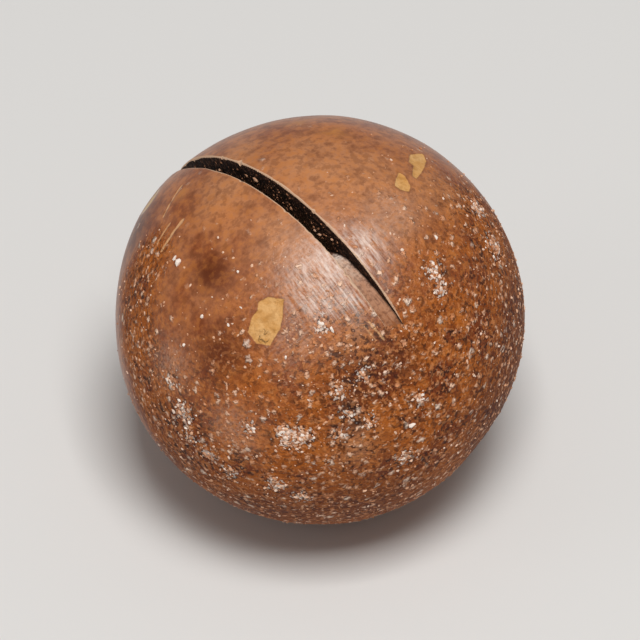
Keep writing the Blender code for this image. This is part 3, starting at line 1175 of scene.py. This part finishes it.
def buildMealCrumbs(material):
    rng = random.Random(crumbs["seed"])
    spots = [(wayAt(pixel), radius * mm, 1.0) for pixel, radius in crumbs["alone"].values()]
    areas = [radius**2 for spot, radius in crusts]
    low, high = crumbs["radius"]
    for spot, radius in rng.choices(crusts, areas, k=crumbs["inCrusts"]):
        shift = randomStep(rng) * (radius * crumbs["crustSpread"])
        size = low + (high - low) * rng.random() ** 2
        way = (spot * nut["radius"] + shift).normalized()
        spots.append((way, size * mm, rng.uniform(*crumbs["inCrustTones"])))
    while len(spots) < len(crumbs["alone"]) + crumbs["inCrusts"] + crumbs["scattered"]:
        way = randomWay(rng, -1, 1)
        if 0.5 * way.dot(grittyWay) + 0.5 * zoneAt(way, "grit") > rng.uniform(*crumbs["gritChance"]):
            size = (low + (high - low) * rng.random() ** 3) * crumbs["scatteredScale"]
            spots.append((way, size * mm, rng.uniform(*crumbs["scatteredTones"])))
    grains = []
    for way, size, tone in spots:
        point = middle + way * (fineRadius(way) + size * crumbs["sunk"])
        clear = mouthDistance(way * nut["radius"]) > crumbs["fromSlit"] and flakeDistance(way) > size
        if clear and point.z > crumbs["aboveFloor"]:
            grains.append((point, way, size, tone))
    crumbPiece("mealCrumbs", rng, grains, material)


# Sawdust on the wall of the slit that the picture shows
def buildSlitCrumbs(material):
    rng = random.Random(crumbs["seed"] + 1)
    wall = slit["offset"] + slit["width"] / 2
    grains = []
    for pixel, radius in crumbs["inSlit"].values():
        x, y = acrossPicture(pixel)
        aside = pictureRight.dot(slitNormal) * x + pictureUp.dot(slitNormal) * y
        depth = (wall - aside) / toCamera.dot(slitNormal)
        point = middle + fromPicture(x, y, depth)
        grains.append((point, -slitNormal, radius * mm, rng.uniform(*crumbs["inSlitTones"])))
    for i in range(crumbs["sawdust"]):
        angle = rng.uniform(*crumbs["sawdustAngles"])
        flat = slitPoint(slitSkin(angle) - rng.uniform(*crumbs["sawdustDepth"]), angle)
        point = middle + besidePlane(wall, flat)
        radius = rng.uniform(*crumbs["sawdustRadius"]) * mm
        grains.append((point, -slitNormal, radius, rng.uniform(*crumbs["sawdustTones"])))
    crumbPiece("slitCrumbs", rng, grains, material)


kernel = {
    "gap": 0.75 * mm,
    "drop": 0.45 * mm,
    "tip": 0.25 * mm,
    "tipSpread": 4.5 * mm,
    "level": 6,
    "seam": 0.12 * mm,
    "seamWidth": 0.5 * mm,
    "wrinkles": 0.06 * mm,
    "wrinkleCount": 4.0,
    "colours": [(0.42, "#F0CC96"), (0.7, "#C2864C")],
    "patches": (2.5, 5.0, 0.6),
    "grain": (0.2, 0.03),       # size and height in mm
    "roughness": 0.42,
    "specular": 0.3,
    "glow": 0.15,               # how much light goes through the flesh, how far, and for each colour
    "glowReach": 0.6 * mm,
    "glowColour": (1.0, 0.8, 0.55),
}


def kernelRadius(way):
    radius = nut["radius"] - nut["wall"] - kernel["gap"]
    radius += kernel["tip"] * bump(arcFrom(tipWay, way), kernel["tipSpread"])
    seamSide = scarWay.cross(Vector((0, 0, 1))).normalized()
    radius -= kernel["seam"] * bump(nut["radius"] * way.dot(seamSide), kernel["seamWidth"])
    return radius + kernel["wrinkles"] * (noise.fractal(way * kernel["wrinkleCount"], 1.0, 2.0, 3) - 0.4)


# Roasted macadamia kernel: oily, waxy flesh, creamy with light toasted patches
def kernelMaterial():
    material, tree, shader, place = patchyMaterial("roastedKernel", kernel)
    size, height = kernel["grain"]
    grain = addNode(tree, "TexNoise", {"Vector": place, "Scale": 1 / size, "Detail": 3.0})
    grain = addNode(tree, "Math", {0: grain, 1: height}, operation="MULTIPLY")
    relief = addNode(tree, "Bump", {"Height": grain, "Distance": mm})
    setInputs(tree, shader, {
        "Normal": relief, "Specular IOR Level": kernel["specular"],
        "Subsurface Weight": kernel["glow"], "Subsurface Scale": kernel["glowReach"],
        "Subsurface Radius": kernel["glowColour"]})
    return material


def buildKernel():
    bm = roundMesh(kernel["level"], kernelRadius)
    bmesh.ops.translate(bm, verts=bm.verts, vec=(0, 0, -kernel["drop"]))
    piece = settle(meshObject("fineKernel", bm, [kernelMaterial()]))
    piece.data.shade_smooth()
    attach(piece, "root")
    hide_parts("kernel")
    print("kernel done, triangles:", len(piece.data.polygons))


studio = {
    "floorColour": "#DEDCD9",
    "floorRoughness": 0.9,
    "floorSpecular": 0.2,
    "floorSize": 6.0,
    "lamps": {"keyLight": ((0.064, -0.316, 0.946), 3.05), "sideLight": ((-0.8, -0.3, 0.5), 0.15)},
    "lampDistance": 0.6,
    "lampSize": 0.22,
    "worldStrength": 0.22,
    "cameraDistance": 0.5,
    "nutShare": 0.64,           # of the picture's width
    "sensor": 36.0,
    "clip": (0.01, 10),
}


# Stands a lamp or the camera off the nut, and turns it to it
def standOff(obj, way, distance):
    obj.location = middle + way * distance
    obj.rotation_euler = way.to_track_quat("Z", "Y").to_euler()


def addLamp(name, towards, power):
    lamp = bpy.data.lights.new(name, "AREA")
    lamp.shape = "SQUARE"
    lamp.size = studio["lampSize"]
    lamp.energy = power
    standOff(newObject(name, lamp), Vector(towards).normalized(), studio["lampDistance"])


def buildStudio():
    bm = bmesh.new()
    bmesh.ops.create_grid(bm, x_segments=1, y_segments=1, size=studio["floorSize"] / 2)
    material, tree, shader = newMaterial("paleFloor")
    setInputs(tree, shader, {
        "Base Color": hexColour(studio["floorColour"]), "Roughness": studio["floorRoughness"],
        "Specular IOR Level": studio["floorSpecular"]})
    floor = meshObject("floor", bm, [material])
    for name, (towards, power) in studio["lamps"].items():
        addLamp(name, towards, power)
    world = bpy.data.worlds.new("studio")
    world.use_nodes = True
    setInputs(world.node_tree, world.node_tree.nodes["Background"], {
        "Color": (1, 1, 1, 1), "Strength": studio["worldStrength"]})
    bpy.context.scene.world = world
    bpy.context.scene.view_settings.view_transform = "Standard"


def buildCamera():
    camera = bpy.data.cameras.new("camera")
    camera.sensor_width = studio["sensor"]
    across = 2 * nut["radius"] / studio["nutShare"]
    camera.lens = studio["sensor"] * studio["cameraDistance"] / across
    camera.clip_start, camera.clip_end = studio["clip"]
    obj = newObject("camera", camera)
    standOff(obj, toCamera, studio["cameraDistance"])
    bpy.context.scene.camera = obj
    print("studio and camera done")


buildShell()
dust = patchyMaterial("shellCrumb", crumb)[0]
buildMealCrumbs(dust)
buildSlitCrumbs(dust)
buildKernel()
buildStudio()
buildCamera()
